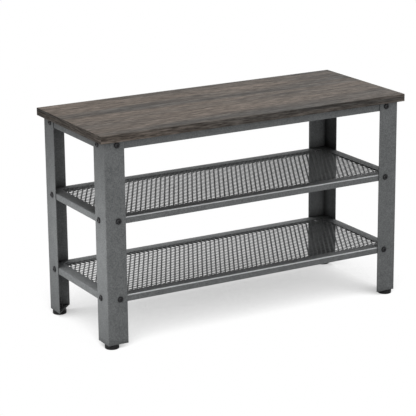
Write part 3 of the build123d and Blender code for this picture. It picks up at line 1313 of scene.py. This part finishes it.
@dataclass(frozen=True)
class Lamp:
    """A far soft light, by where it stands and how broad it looks."""

    name: str
    azimuth: float
    elevation: float
    strength: float
    spread: float

    def build(self) -> bpy.types.Object:
        """Hangs the light.

        Returns:
            The light's object.
        """
        lamp = bpy.data.lights.new(self.name, "SUN")
        lamp.energy = self.strength
        lamp.angle = math.radians(self.spread)
        light = bpy.data.objects.new(self.name, lamp)
        light.matrix_world = direction(self.azimuth, self.elevation).to_track_quat("Z", "Y").to_matrix().to_4x4()
        bpy.context.scene.collection.objects.link(light)
        return light


@dataclass(frozen=True)
class SoftBox:
    """A near soft light, which falls off along the bench."""

    name: str
    place: Triple
    aim: Triple
    width: float
    height: float
    power: float

    def build(self) -> bpy.types.Object:
        """Stands the light up.

        Returns:
            The light's object.
        """
        lamp = bpy.data.lights.new(self.name, "AREA")
        lamp.shape = "RECTANGLE"
        lamp.size, lamp.size_y = self.width, self.height
        lamp.energy = self.power
        light = bpy.data.objects.new(self.name, lamp)
        away = Vector(self.place) - Vector(self.aim)
        light.matrix_world = Matrix.Translation(self.place) @ away.to_track_quat("Z", "Y").to_matrix().to_4x4()
        light.visible_camera = False
        bpy.context.scene.collection.objects.link(light)
        return light


@dataclass
class Studio:
    """Plain pale floor, soft lights and a white surround."""

    lamps: tuple[Union[Lamp, SoftBox], ...] = (
        Lamp("overhead_light", azimuth=180.0, elevation=86.0, strength=2.95, spread=20.0),
        Lamp("front_light", azimuth=0.0, elevation=4.0, strength=1.65, spread=18.0),
        Lamp("far_side_light", azimuth=125.0, elevation=22.0, strength=1.2, spread=40.0),
        SoftBox("side_box", place=(-0.65, -0.04, 0.2), aim=(0.0, -0.04, 0.2), width=0.42, height=0.16, power=1.3),
    )
    sky_strength: float = 0.1
    floor_reach: float = 12.0
    floor_rough: float = 0.9
    floor_bounce: Colour = (0.25, 0.25, 0.25)
    shade_colour: Colour = (0.04, 0.04, 0.04)
    shade_reach: float = 0.6
    shade_depth: float = 0.5
    shade_lean: Triple = (-0.35, -0.8, 1.0)
    shade_samples: int = 32
    darkest_sky: float = 0.37
    clear_sky: float = 0.7

    def build(self) -> None:
        """Sets up the floor, the surround, the lights and the view transform."""
        bpy.context.scene.view_settings.view_transform = "Standard"
        self.build_floor()
        self.build_surround()
        for lamp in self.lamps:
            lamp.build()

    def build_floor(self) -> None:
        """Lays the floor: it bounces a little light up, and shows the camera the bench's shadow on white.

        Feet that are screwed out below the floor and the underside of the bench still show through it.
        """
        reach = self.floor_reach
        mesh = bpy.data.meshes.new("studio_floor")
        corners = [(-reach, -reach, 0), (reach, -reach, 0), (reach, reach, 0), (-reach, reach, 0)]
        mesh.from_pydata(corners, [], [(0, 1, 2, 3)])
        material = bpy.data.materials.new("studio_floor")
        material.use_nodes = True
        sheet = NodeSheet(material.node_tree)
        skin = material.node_tree.nodes["Principled BSDF"].inputs
        seen = self.seen(sheet)
        sheet.feed(skin["Base Color"], sheet.mix(seen, rgba(self.floor_bounce), rgba(self.shade_colour)))
        skin["Roughness"].default_value = self.floor_rough
        skin["Specular IOR Level"].default_value = 0.0
        clear = sheet.span(self.open_sky(sheet), self.darkest_sky, self.clear_sky, 1.0 - self.shade_depth, 1.0)
        sheet.feed(skin["Alpha"], sheet.math("SUBTRACT", 1.0, sheet.math("MULTIPLY", seen, clear)))
        mesh.materials.append(material)
        add_piece("studio_floor", mesh)

    def open_sky(self, sheet: NodeSheet) -> bpy.types.NodeSocket:
        """Share of the sky that the floor sees past the bench, looking up and to the front and left.

        Args:
            sheet: The floor's node tree.

        Returns:
            The share, one in the open.
        """
        lean = Vector(self.shade_lean).normalized()
        aim = sheet.node("ShaderNodeCombineXYZ", {"X": lean.x, "Y": lean.y, "Z": lean.z}).outputs["Vector"]
        feeds = {"Distance": self.shade_reach, "Normal": aim}
        return sheet.node("ShaderNodeAmbientOcclusion", feeds, samples=self.shade_samples).outputs["AO"]

    def seen(self, sheet: NodeSheet) -> bpy.types.NodeSocket:
        """Tells what the camera sees, straight or by reflection, from light on the bench.

        Args:
            sheet: The tree that asks.

        Returns:
            One for what is seen, and zero for light.
        """
        path = sheet.node("ShaderNodeLightPath").outputs
        mirrored = sheet.math("MAXIMUM", path["Is Glossy Ray"], path["Is Transmission Ray"])
        return sheet.math("MAXIMUM", path["Is Camera Ray"], mirrored)

    def build_surround(self) -> None:
        """Makes the surround: white to look at, and a weak fill on the bench."""
        world = bpy.data.worlds.new("studio_surround")
        world.use_nodes = True
        sheet = NodeSheet(world.node_tree)
        strength = sheet.span(self.seen(sheet), 0.0, 1.0, self.sky_strength, 1.0)
        sky = world.node_tree.nodes["Background"].inputs
        sky["Color"].default_value = rgba((1.0, 1.0, 1.0))
        sheet.feed(sky["Strength"], strength)
        bpy.context.scene.world = world


def main() -> None:
    """Builds and dresses the bench, then the studio round it."""
    logging.basicConfig(level=logging.INFO, format="%(message)s")
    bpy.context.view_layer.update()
    SeatBoard(WOOD).dress()
    SteelFrame(FRAME_PAINT, ZINC, SCREW_BLACK).dress()
    for level in (Level.UPPER_SHELF, Level.LOWER_SHELF):
        MeshShelf(level, MESH_PAINT).build()
    Fixings(SCREW_BLACK, ZINC).build()
    for corner in Corner:
        LevellingFoot(corner, FOOT_PLASTIC, SCREW_BLACK).build()
    Studio().build()
    PhotoCamera().build()


if __name__ == "__main__":
    main()
